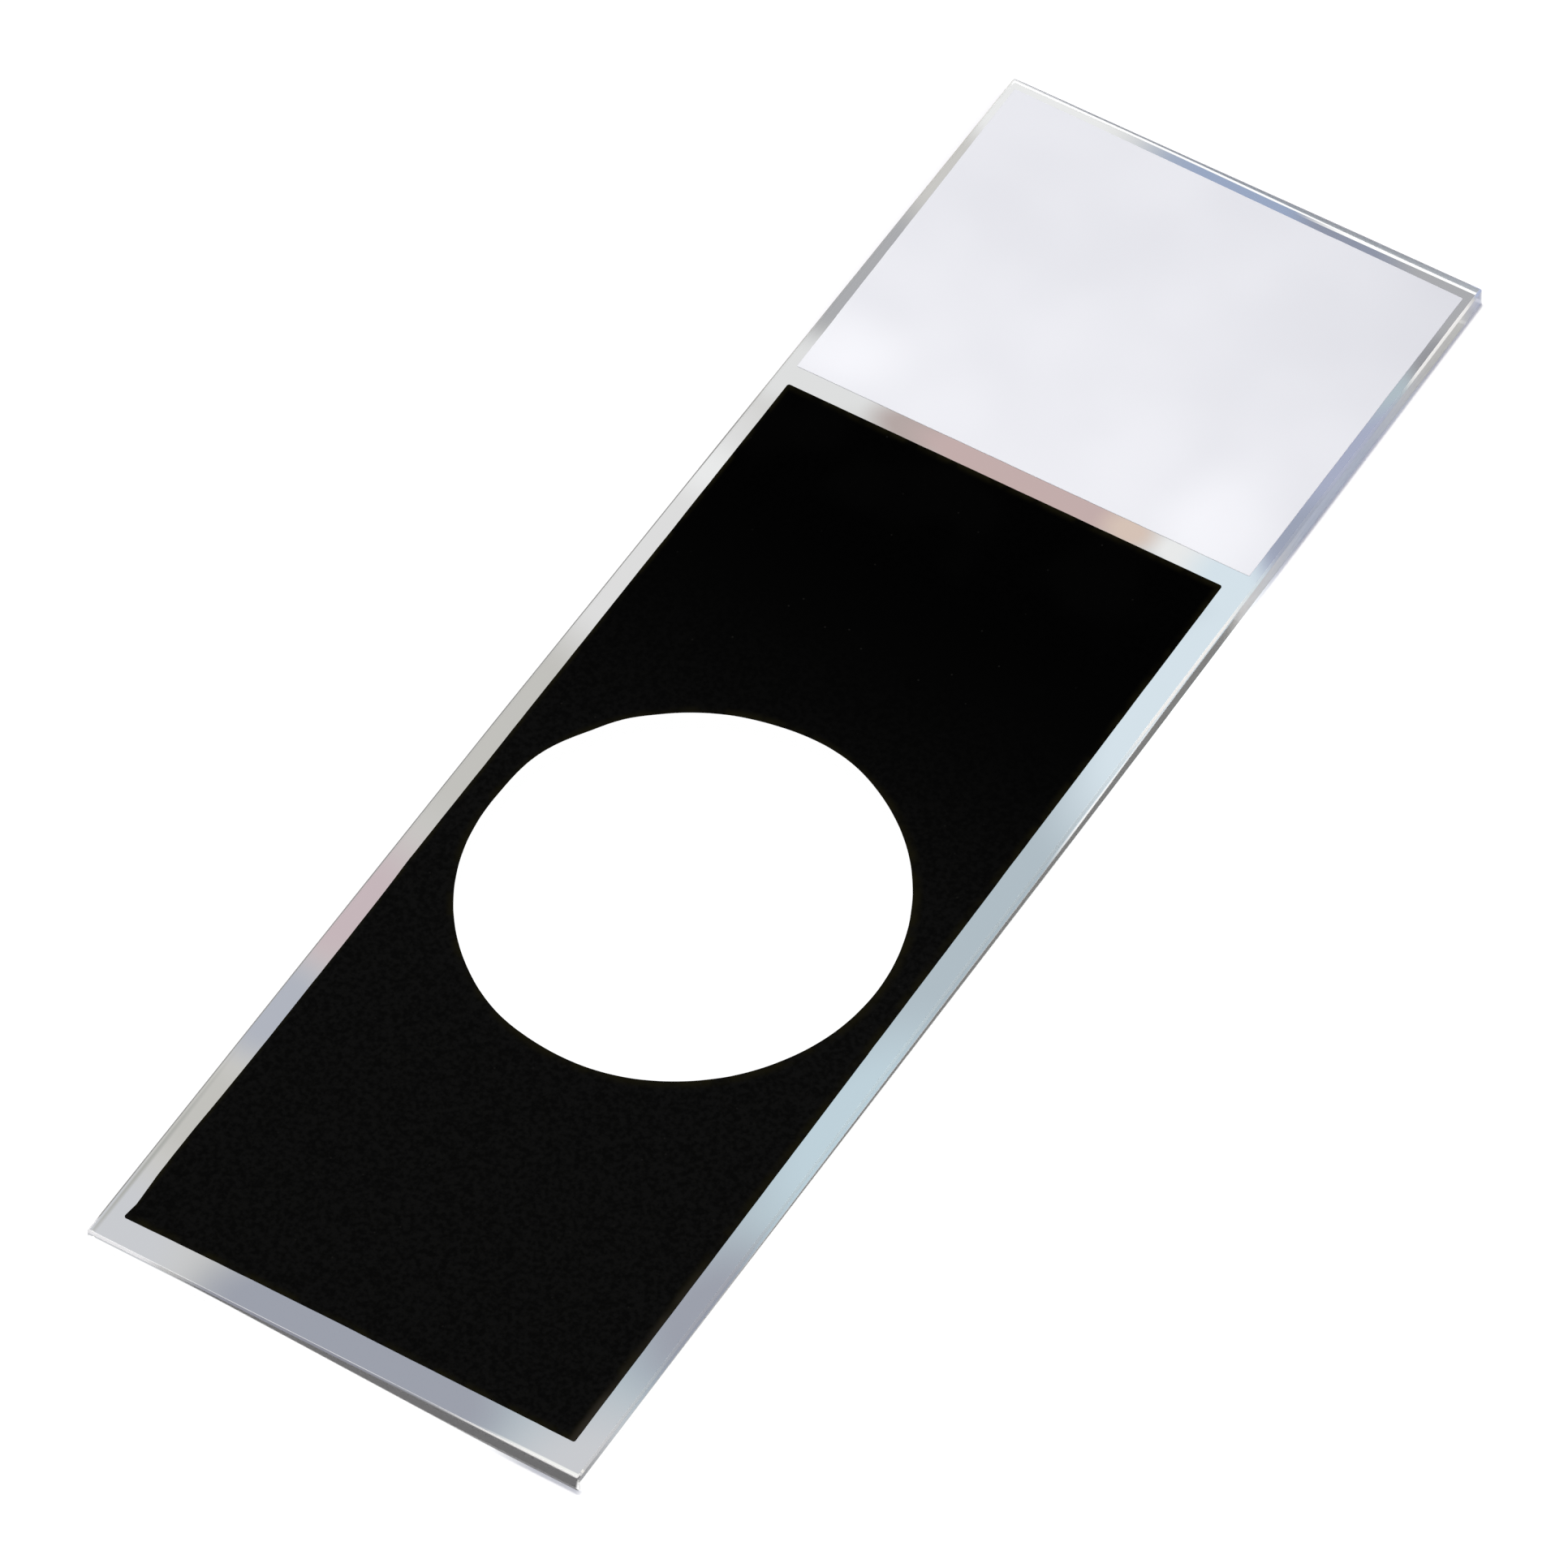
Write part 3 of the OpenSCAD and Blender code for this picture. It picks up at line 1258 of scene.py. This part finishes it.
@dataclass
class GlassPlate:
    """The glass, with dubbed corners and ground chamfers whose width wanders a little.

    Attributes:
        layout: Where the pieces lie.
        corner_radius: The radius of the upright corners.
        corner_steps: In how many steps they turn.
        chamfer: The chamfers' size.
        arris: The width of the fine bevel along each chamfer's rims.
        cut_step: The length of the strips in which the chamfers wander.
        cut_margin: How far from each end the outermost cuts lie, in corner radii.
        wobble: How they wander.
        wobble_fade: How far from a corner they still run true.
        wobble_seeds: Where the wobble of the upper and of the lower ones starts.
        lean: How much the left side leans in.
        lean_from: Where along the plate that begins.
        lean_reach: How far in from that side the vertices go with it, in corner radii.
        ground_near_from: Where along x the near side's lower chamfer is ground, not polished.
        ground_right_from: The same along y for the right side's.
        arris_deg: Between which angles the plate turns at a chamfer.
        level: How far up or down a face's normal points when the face lies level.
        slanting: How far it points to one side, at least, when the face slants to that side.
        upright: How far up or down it points, at most, when the face stands.
    """

    layout: Layout
    corner_radius: float = 0.12 * MM
    corner_steps: int = 8
    chamfer: float = 0.09 * MM
    arris: float = 0.008 * MM
    cut_step: float = 1.0 * MM
    cut_margin: float = 2.5
    wobble: Wobble = Wobble(0.032 * MM, 9.0 * MM, 0.2, 1.8 * MM, 20.0)
    wobble_fade: float = 2.0 * MM
    wobble_seeds: Pair = (3.0, 8.0)
    lean: float = 0.0055
    lean_from: float = -6.0 * MM
    lean_reach: float = 3.0
    ground_near_from: float = 8.0 * MM
    ground_right_from: float = 10.0 * MM
    arris_deg: Pair = (30.0, 60.0)
    level: float = 0.999
    slanting: float = 0.3
    upright: float = 0.05

    def build(self) -> bpy.types.Object:
        """Models and dresses the plate.

        Returns:
            The finished object.
        """
        width, length = self.layout.glass.span
        x, y = self.layout.glass.middle
        top = self.layout.glass_top
        piece = Workpiece(
            "slide_glass",
            bpy.ops.mesh.primitive_cube_add,
            size=1.0,
            location=(x, y, top / 2),
            scale=(width, length, top),
        )
        piece.pick_edges(lambda edge: rise_of(edge) > top / 2)
        piece.bevel(self.corner_radius, segments=self.corner_steps)
        piece.pick_edges(lambda edge: rise_of(edge) < NEAR)
        piece.bevel(self.chamfer)
        self._cut_across(length, (0, 1, 0))
        self._cut_across(width, (1, 0, 0))
        piece.nudge(self._wobble_chamfers)
        piece.nudge(self._lean_left)
        piece.pick_edges(self._is_arris)
        piece.bevel(self.arris)
        clear = ClearGlass(self.layout)
        obj = piece.close(clear.make(), GroundGlass(clear).make(), CutGlass(self.layout).make())
        for face in obj.data.polygons:
            face.material_index = self._slot(face)
        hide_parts("glass_plate")
        return obj

    def _slot(self, face: bpy.types.MeshPolygon) -> GlassSlot:
        """Tells a face's material from its slope and place.

        Args:
            face: The face.

        Returns:
            Its slot. The lower chamfers are polished but for the ones that show.
        """
        slope = face.normal
        near_part = slope.y < -self.slanting and face.center.x > self.ground_near_from
        right_part = slope.x > self.slanting and face.center.y > self.ground_right_from
        underneath = slope.z < -self.slanting and not (near_part or right_part)
        if abs(slope.z) > self.level or underneath:
            return GlassSlot.POLISHED
        return GlassSlot.CUT if abs(slope.z) < self.upright else GlassSlot.GROUND

    def _cut_across(self, reach: float, normal: tuple[int, int, int]) -> None:
        """Cuts the plate into even strips, so that its chamfers can wander.

        Args:
            reach: The plate's size along the normal.
            normal: The direction that the strips follow each other in.
        """
        count = round(reach / self.cut_step)
        margin = self.cut_margin * self.corner_radius
        for i in range(count + 1):
            place = -reach / 2 + margin + (reach - 2 * margin) * i / count
            bpy.ops.mesh.select_all(action="SELECT")
            bpy.ops.mesh.bisect(plane_co=Vector(normal) * place, plane_no=normal)

    def _lean_left(self, at: Vector) -> Vector:
        """Lets the left side lean in towards the far end, as a scored cut runs.

        Args:
            at: A vertex's place.

        Returns:
            Its new place.
        """
        past = max(at.y - self.lean_from, 0.0)
        at_left = at.x < self.layout.glass.left + self.lean_reach * self.corner_radius
        return at + sideways(self.lean * past if at_left else 0.0)

    def _wobble_chamfers(self, at: Vector) -> Vector:
        """Moves a vertex on a chamfer's rim along the face that the rim borders.

        Args:
            at: The vertex's place.

        Returns:
            Its new place.
        """
        at = at.copy()
        half_width, half_length = (side / 2 for side in self.layout.glass.span)
        top = self.layout.glass_top
        on_face = at.z < NEAR or at.z > top - NEAR
        seed = self.wobble_seeds[0 if at.z > top / 2 else 1]
        from_corner = max(half_width - abs(at.x), half_length - abs(at.y)) - self.corner_radius
        fade = min(max(from_corner / self.wobble_fade, 0.0), 1.0)
        drift = fade * self.wobble.at(at, seed)
        if on_face:
            if abs(abs(at.x) - (half_width - self.chamfer)) < NEAR:
                at.x -= math.copysign(drift, at.x)
            if abs(abs(at.y) - (half_length - self.chamfer)) < NEAR:
                at.y -= math.copysign(drift, at.y)
        elif abs(at.x) > half_width - NEAR or abs(at.y) > half_length - NEAR:
            at.z += drift if at.z < top / 2 else -drift
        return at

    def _is_arris(self, edge: bmesh.types.BMEdge) -> bool:
        """Picks out the edges where a chamfer meets a face or a side.

        Args:
            edge: An edge.

        Returns:
            True for such an edge.
        """
        low, high = (math.radians(angle) for angle in self.arris_deg)
        if len(edge.link_faces) != 2 or rise_of(edge) >= self.chamfer / 2:
            return False
        return low < edge.calc_face_angle(0.0) < high


@dataclass
class InkCoat:
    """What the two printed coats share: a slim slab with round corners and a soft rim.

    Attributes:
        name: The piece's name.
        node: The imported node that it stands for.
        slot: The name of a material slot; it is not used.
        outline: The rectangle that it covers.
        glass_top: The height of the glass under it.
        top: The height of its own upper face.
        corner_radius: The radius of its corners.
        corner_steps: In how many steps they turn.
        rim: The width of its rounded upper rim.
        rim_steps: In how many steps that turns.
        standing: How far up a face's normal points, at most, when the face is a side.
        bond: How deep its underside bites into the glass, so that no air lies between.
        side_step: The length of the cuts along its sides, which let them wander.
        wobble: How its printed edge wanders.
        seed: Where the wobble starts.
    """

    name: str
    node: str
    slot: str
    outline: Rect
    glass_top: float
    top: float
    corner_radius: float = 0.12 * MM
    corner_steps: int = 8
    rim: float = 0.012 * MM
    rim_steps: int = 3
    standing: float = 0.5
    bond: float = 0.001 * MM
    side_step: float = 0.6 * MM
    wobble: Wobble = Wobble(0.02 * MM, 2.2 * MM, 0.4, 0.7 * MM, 5.0)
    seed: float = 1.0

    def build(self, finish: Finish) -> bpy.types.Object:
        """Models and dresses the coat, and hides the imported node that it stands for.

        Args:
            finish: Its ink.

        Returns:
            The finished object.
        """
        piece = self.outline_piece()
        self.fill(piece)
        piece.nudge(self.pull_sides)
        piece.nudge(self.skew)
        self.raise_slab(piece)
        obj = piece.close(finish.make())
        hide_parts(self.node)
        return obj

    def fill(self, piece: Workpiece) -> None:
        """Fills the open outline with faces."""
        raise NotImplementedError

    def skew(self, at: Vector) -> Vector:
        """Sets the coat out of true, as it was printed."""
        raise NotImplementedError

    def outline_piece(self) -> Workpiece:
        """Models the open outline, with round corners and evenly cut sides.

        Returns:
            The piece, open for editing.
        """
        width, length = self.outline.span
        place = (*self.outline.middle, self.glass_top - self.bond)
        piece = Workpiece(self.name, bpy.ops.mesh.primitive_plane_add, size=1.0, location=place)
        bpy.ops.mesh.select_all(action="SELECT")
        bpy.ops.transform.resize(value=(width, length, 1.0), center_override=place)
        piece.bevel(self.corner_radius, segments=self.corner_steps, affect="VERTICES")
        bpy.ops.mesh.delete(type="ONLY_FACE")
        for side in (width, length):
            straight = side - 2 * self.corner_radius
            piece.pick_edges(lambda edge: abs(edge.calc_length() - straight) < NEAR)
            bpy.ops.mesh.subdivide(number_cuts=round(straight / self.side_step))
        return piece

    def raise_slab(self, piece: Workpiece) -> None:
        """Gives the flat outline its thickness and its rounded rim.

        Args:
            piece: The piece, still flat.
        """
        bpy.ops.mesh.select_all(action="SELECT")
        rise = self.top - self.glass_top + self.bond
        bpy.ops.mesh.extrude_region_move(TRANSFORM_OT_translate={"value": (0, 0, rise)})

        def on_rim(edge: bmesh.types.BMEdge) -> bool:
            """True for an edge where the upper face meets a side."""
            high = all(corner.co.z > self.top - NEAR for corner in edge.verts)
            return high and any(abs(face.normal.z) < self.standing for face in edge.link_faces)

        piece.face_outwards()
        piece.pick_edges(on_rim)
        piece.bevel(self.rim, segments=self.rim_steps)

    def pull_sides(self, at: Vector) -> Vector:
        """Lets the printed sides wander inwards.

        Args:
            at: A vertex's place.

        Returns:
            Its new place.
        """
        at = at.copy()
        rect = self.outline
        drift = abs(self.wobble.at(at, self.seed))
        if min(at.x - rect.left, rect.right - at.x) < NEAR:
            at.x -= math.copysign(drift, at.x)
        if min(at.y - rect.near, rect.far - at.y) < NEAR:
            at.y -= math.copysign(drift, at.y - rect.middle[1])
        return at


@dataclass(frozen=True)
class Swelling:
    """A place where the printed edge of the well bulges outwards, or is drawn in.

    Attributes:
        at_deg: Its middle, counted from +X towards +Y.
        reach_deg: How far it goes to either side.
        height: How far it bulges, or less than 0 where it is drawn in.
    """

    at_deg: float
    reach_deg: float
    height: float

    def rise(self, angle_deg: float) -> float:
        """How far the edge stands out at an angle."""
        away = abs((angle_deg - self.at_deg + 180) % 360 - 180) / self.reach_deg
        return self.height * (0.5 + 0.5 * math.cos(math.pi * away)) if away < 1 else 0.0


@dataclass
class MaskCoat(InkCoat):
    """The black mask, open in the round well.

    Attributes:
        well_middle: The centre of the well.
        well_radius: Its radius.
        well_wobble: How its edge wanders.
        well_seed: How far the seed of that lies from the sides' own.
        swellings: Where its edge bulges or is drawn in.
        flare: How far the mask's right side stands out at its near end.
        askew: How far it leans in from there to its far end.
        droop: How far the near side comes down at its left end.
        near_share: The share of the mask's length that counts as its near side.
        nick: How far its left side draws in beside the near corner.
        nick_from: How far from the corner the nick begins.
        nick_reach: How far along the side it goes.
        waist: How far the left side draws in farther on.
        waist_middle: Where along it that is.
        waist_reach: How far that goes to either hand.
    """

    well_middle: Pair = (0.0, 0.0)
    well_radius: float = 10.0 * MM
    well_wobble: Wobble = Wobble(0.02 * MM, 3.5 * MM, 0.3, 0.8 * MM, 10.0)
    well_seed: float = 30.0
    swellings: tuple[Swelling, ...] = (
        Swelling(22.0, 42.0, -0.08 * MM),
        Swelling(315.0, 70.0, -0.05 * MM),
        Swelling(142.0, 60.0, 0.07 * MM),
        Swelling(79.0, 26.0, 0.13 * MM),
        Swelling(138.0, 10.0, 0.06 * MM),
        Swelling(161.0, 17.0, 0.16 * MM),
        Swelling(215.0, 45.0, 0.04 * MM),
        Swelling(248.0, 16.0, 0.04 * MM),
    )
    flare: float = 0.08 * MM
    askew: float = 0.17 * MM
    droop: float = 0.11 * MM
    near_share: float = 0.01
    nick: float = 0.11 * MM
    nick_from: float = 0.4 * MM
    nick_reach: float = 2.2 * MM
    waist: float = 0.07 * MM
    waist_middle: float = -22.5 * MM
    waist_reach: float = 8.3 * MM

    def fill(self, piece: Workpiece) -> None:
        """Bridges the outline to the rim of the well.

        Args:
            piece: The piece, still an outline.
        """
        rim_count = len(bmesh.from_edit_mesh(piece.obj.data).verts)
        bpy.ops.mesh.select_all(action="DESELECT")
        bpy.ops.mesh.primitive_circle_add(
            vertices=rim_count,
            radius=self.well_radius,
            fill_type="NOTHING",
            location=(*self.well_middle, self.glass_top - self.bond),
        )
        bpy.ops.mesh.select_mode(type="EDGE")
        bpy.ops.mesh.select_all(action="SELECT")
        bpy.ops.mesh.bridge_edge_loops()

    def _pull_well(self, at: Vector) -> Vector:
        """Lets the well's edge swell and wander.

        Args:
            at: A vertex's place.

        Returns:
            Its new place.
        """
        arm = Vector((at.x - self.well_middle[0], at.y - self.well_middle[1], 0))
        if abs(arm.length - self.well_radius) > NEAR:
            return at
        drift = self.well_wobble.at(at, self.seed + self.well_seed)
        angle = math.degrees(math.atan2(arm.y, arm.x))
        drift += sum(swelling.rise(angle) for swelling in self.swellings)
        return at + arm.normalized() * drift

    def skew(self, at: Vector) -> Vector:
        """Sets the right side askew, lets the near one droop and draws the left one in twice.

        Args:
            at: A vertex's place.

        Returns:
            Its new place.
        """
        from_near = at.y - self.outline.near
        share = from_near / self.outline.span[1]
        if at.x > self.well_middle[0] + self.well_radius:
            at = at + sideways(self.flare - self.askew * share)
        if share < self.near_share and at.x < 0:
            at = at - Vector((0, self.droop * (at.x / self.outline.left) ** 2, 0))
        if at.x < self.well_middle[0] - self.well_radius:
            along = (from_near - self.nick_from) / self.nick_reach
            nick = self.nick * (1 - along) if 0 < along < 1 else 0.0
            off = (at.y - self.waist_middle) / self.waist_reach
            waist = self.waist * (1 - off**4) if abs(off) < 1 else 0.0
            at = at + sideways(nick + waist)
        return self._pull_well(at)


@dataclass
class WritingField(InkCoat):
    """The white field to write on.

    Attributes:
        corner_radius: The radius of its corners.
        drop: How far its near side stands out.
        drop_lost: How much of that is lost at the far side.
        slant: How much its far side falls away to the right.
        spread: How far its right side stands out at the far end.
        inset: How far its left side is drawn in at the near end.
    """

    corner_radius: float = 0.05 * MM
    drop: float = 0.085 * MM
    drop_lost: float = 0.75
    slant: float = 0.0155
    spread: float = 0.09 * MM
    inset: float = 0.135 * MM

    def fill(self, piece: Workpiece) -> None:
        """Fills the outline with one face."""
        bpy.ops.mesh.select_all(action="SELECT")
        bpy.ops.mesh.edge_face_add()

    def skew(self, at: Vector) -> Vector:
        """Sets the field a little out of square, as it was printed.

        Args:
            at: A vertex's place.

        Returns:
            Its new place.
        """
        share = (at.y - self.outline.near) / self.outline.span[1]
        across = at.x - self.outline.middle[0]
        side = 2 * across / self.outline.span[0]
        outwards = self.spread * share * max(side, 0.0) - self.inset * (1 - share) * min(side, 0.0)
        fall = self.drop * (1 - self.drop_lost * share) + self.slant * across * share
        return at + Vector((outwards, -fall, 0))


# --------------------------------------------------------------------------- studio


LOOKED_AT = ("Camera", "Glossy", "Transmission")  # the rays that show the white ground


@dataclass(frozen=True)
class StudioFloor(Finish):
    """The pale floor that the slide lies on.

    Attributes:
        side: Its size.
        drop: How far it lies under the slide, so that their faces don't coincide.
        colour: How it lights the slide.
        lit: How much of the lamps' light is seen on it, and so how deep the shadow is.
        through: How white it is through the glass, which takes a little of it away.
    """

    side: float = 6.0
    drop: float = 0.02 * MM
    colour: float = 0.80
    lit: float = 1.12
    through: float = 1.05

    material_name = "pale_floor"

    def surface(self, sheet: ShaderSheet) -> Wire:
        """Builds the shader.

        Args:
            sheet: The material's nodes.

        Returns:
            The shader.
        """
        plain, seen = (
            sheet.add("ShaderNodeBsdfDiffuse", None, {"Color": (level,) * 3})
            for level in (self.colour, self.lit)
        )
        white = sheet.add("ShaderNodeEmission", None, {"Color": WHITE, "Strength": self.through})
        seen = sheet.mix_shaders(sheet.ray_is("Transmission"), seen, white)
        return sheet.mix_shaders(sheet.ray_is(*LOOKED_AT), plain, seen)

    def build(self) -> None:
        """Lays the floor."""
        bpy.ops.object.select_all(action="DESELECT")
        bpy.ops.mesh.primitive_plane_add(size=self.side, location=(0, 0, -self.drop))
        floor = bpy.context.active_object
        floor.name = "floor"
        floor.data.materials.append(self.make())


@dataclass(frozen=True)
class SoftLight:
    """A large soft lamp.

    Attributes:
        name: Its name.
        place: Where it stands.
        side: The side of its square face.
        power: Its power in watts.
        tint: Its colour.
    """

    name: str
    place: Triple
    side: float
    power: float
    tint: Colour

    def hang(self) -> None:
        """Adds the lamp, turned towards the slide."""
        data = bpy.data.lights.new(self.name, "AREA")
        data.size = self.side
        data.energy = self.power
        data.color = self.tint
        lamp = bpy.data.objects.new(self.name, data)
        bpy.context.scene.collection.objects.link(lamp)
        lamp.location = self.place
        lamp.rotation_euler = (-Vector(self.place)).to_track_quat("-Z", "Y").to_euler()
        lamp.visible_transmission = False


@dataclass(frozen=True)
class SlideCamera:
    """The camera: a long lens that looks down on the slide from its near right corner.

    Attributes:
        azimuth_deg: The turn round the slide. 0 looks along it from the near end.
        elevation_deg: The height above the horizon.
        roll_deg: The turn about the line of sight.
        distance: From the middle of the glass's upper face, along the line of sight.
        aside: How far that middle lies left of the line of sight, and below it.
        lens_mm: The focal length.
        sensor_mm: The width of the sensor.
        clip: How near and how far it sees.
    """

    azimuth_deg: float = 35.4
    elevation_deg: float = 52.657
    roll_deg: float = -3.87
    distance: float = 539.54 * MM
    aside: Pair = (-0.818 * MM, -1.611 * MM)
    lens_mm: float = 282.8
    sensor_mm: float = 36.0
    clip: Pair = (0.01, 20.0)

    def place(self, target: Vector) -> None:
        """Adds the camera and makes it the scene's own.

        Args:
            target: The middle of the glass's upper face.
        """
        around, up_by, roll = (
            math.radians(angle) for angle in (self.azimuth_deg, self.elevation_deg, self.roll_deg)
        )
        level = math.cos(up_by)
        back = Vector((math.sin(around) * level, -math.cos(around) * level, math.sin(up_by)))
        right = Vector((math.cos(around), math.sin(around), 0))
        upward = back.cross(right)
        turned_right = right * math.cos(roll) + upward * math.sin(roll)
        turned_up = upward * math.cos(roll) - right * math.sin(roll)
        data = bpy.data.cameras.new("camera")
        data.lens = self.lens_mm
        data.sensor_width = self.sensor_mm
        data.clip_start, data.clip_end = self.clip
        camera = bpy.data.objects.new("camera", data)
        bpy.context.scene.collection.objects.link(camera)
        spot = target + turned_right * self.aside[0] + turned_up * self.aside[1]
        spot = spot + back * self.distance
        axes = Matrix((turned_right, turned_up, back)).transposed().to_4x4()
        camera.matrix_world = Matrix.Translation(spot) @ axes
        bpy.context.scene.camera = camera


@dataclass(frozen=True)
class SoftRoom:
    """The world: an even soft light, and a white ground where it is looked at.

    Attributes:
        tint: The light's colour.
        strength: Its strength.
    """

    tint: Colour = (0.90, 0.90, 1.0)
    strength: float = 0.24

    def build(self) -> None:
        """Gives the scene its world."""
        world = bpy.data.worlds.new("soft_room")
        bpy.context.scene.world = world
        world.use_nodes = True
        sheet = ShaderSheet(world.node_tree)
        light, white = (
            sheet.add("ShaderNodeBackground", None, {"Color": colour, "Strength": strength})
            for colour, strength in ((self.tint, self.strength), (WHITE, 1.0))
        )
        surface = sheet.mix_shaders(sheet.ray_is(*LOOKED_AT), light, white)
        sheet.add("ShaderNodeOutputWorld", None, {"Surface": surface})


def main() -> None:
    """Builds the slide and its studio."""
    layout = Layout()
    log.info("packed nodes: %s", ", ".join(frame["nodes"]))
    bpy.context.scene.view_settings.view_transform = "Standard"

    target = Vector((*layout.glass.middle, layout.glass_top))
    SlideCamera().place(target)
    SoftRoom().build()
    lamps = (
        SoftLight("key", (-0.10, 0.12, 1.27), side=0.2, power=11.2, tint=(1.0, 0.99, 0.97)),
        SoftLight("fill", (0.90, -0.25, 0.80), side=0.8, power=3.0, tint=(0.98, 0.96, 1.0)),
    )
    for lamp in lamps:
        lamp.hang()
    StudioFloor().build()

    mask = MaskCoat(
        name="black_mask",
        node="mask_print",
        slot="black_mask",
        outline=layout.mask,
        glass_top=layout.glass_top,
        top=layout.mask_top,
        seed=3.0,
        well_middle=layout.well_middle,
        well_radius=layout.well_radius,
    )
    white = WritingField(
        name="white_field",
        node="writing_field",
        slot="white_field",
        outline=layout.white,
        glass_top=layout.glass_top,
        top=layout.white_top,
        seed=7.0,
    )
    pieces = [
        GlassPlate(layout).build(),
        mask.build(MaskInk(layout)),
        white.build(FieldInk(layout)),
    ]
    for piece in pieces:
        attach(piece, BODY)
        report_piece(piece)


if __name__ == "__main__":
    main()
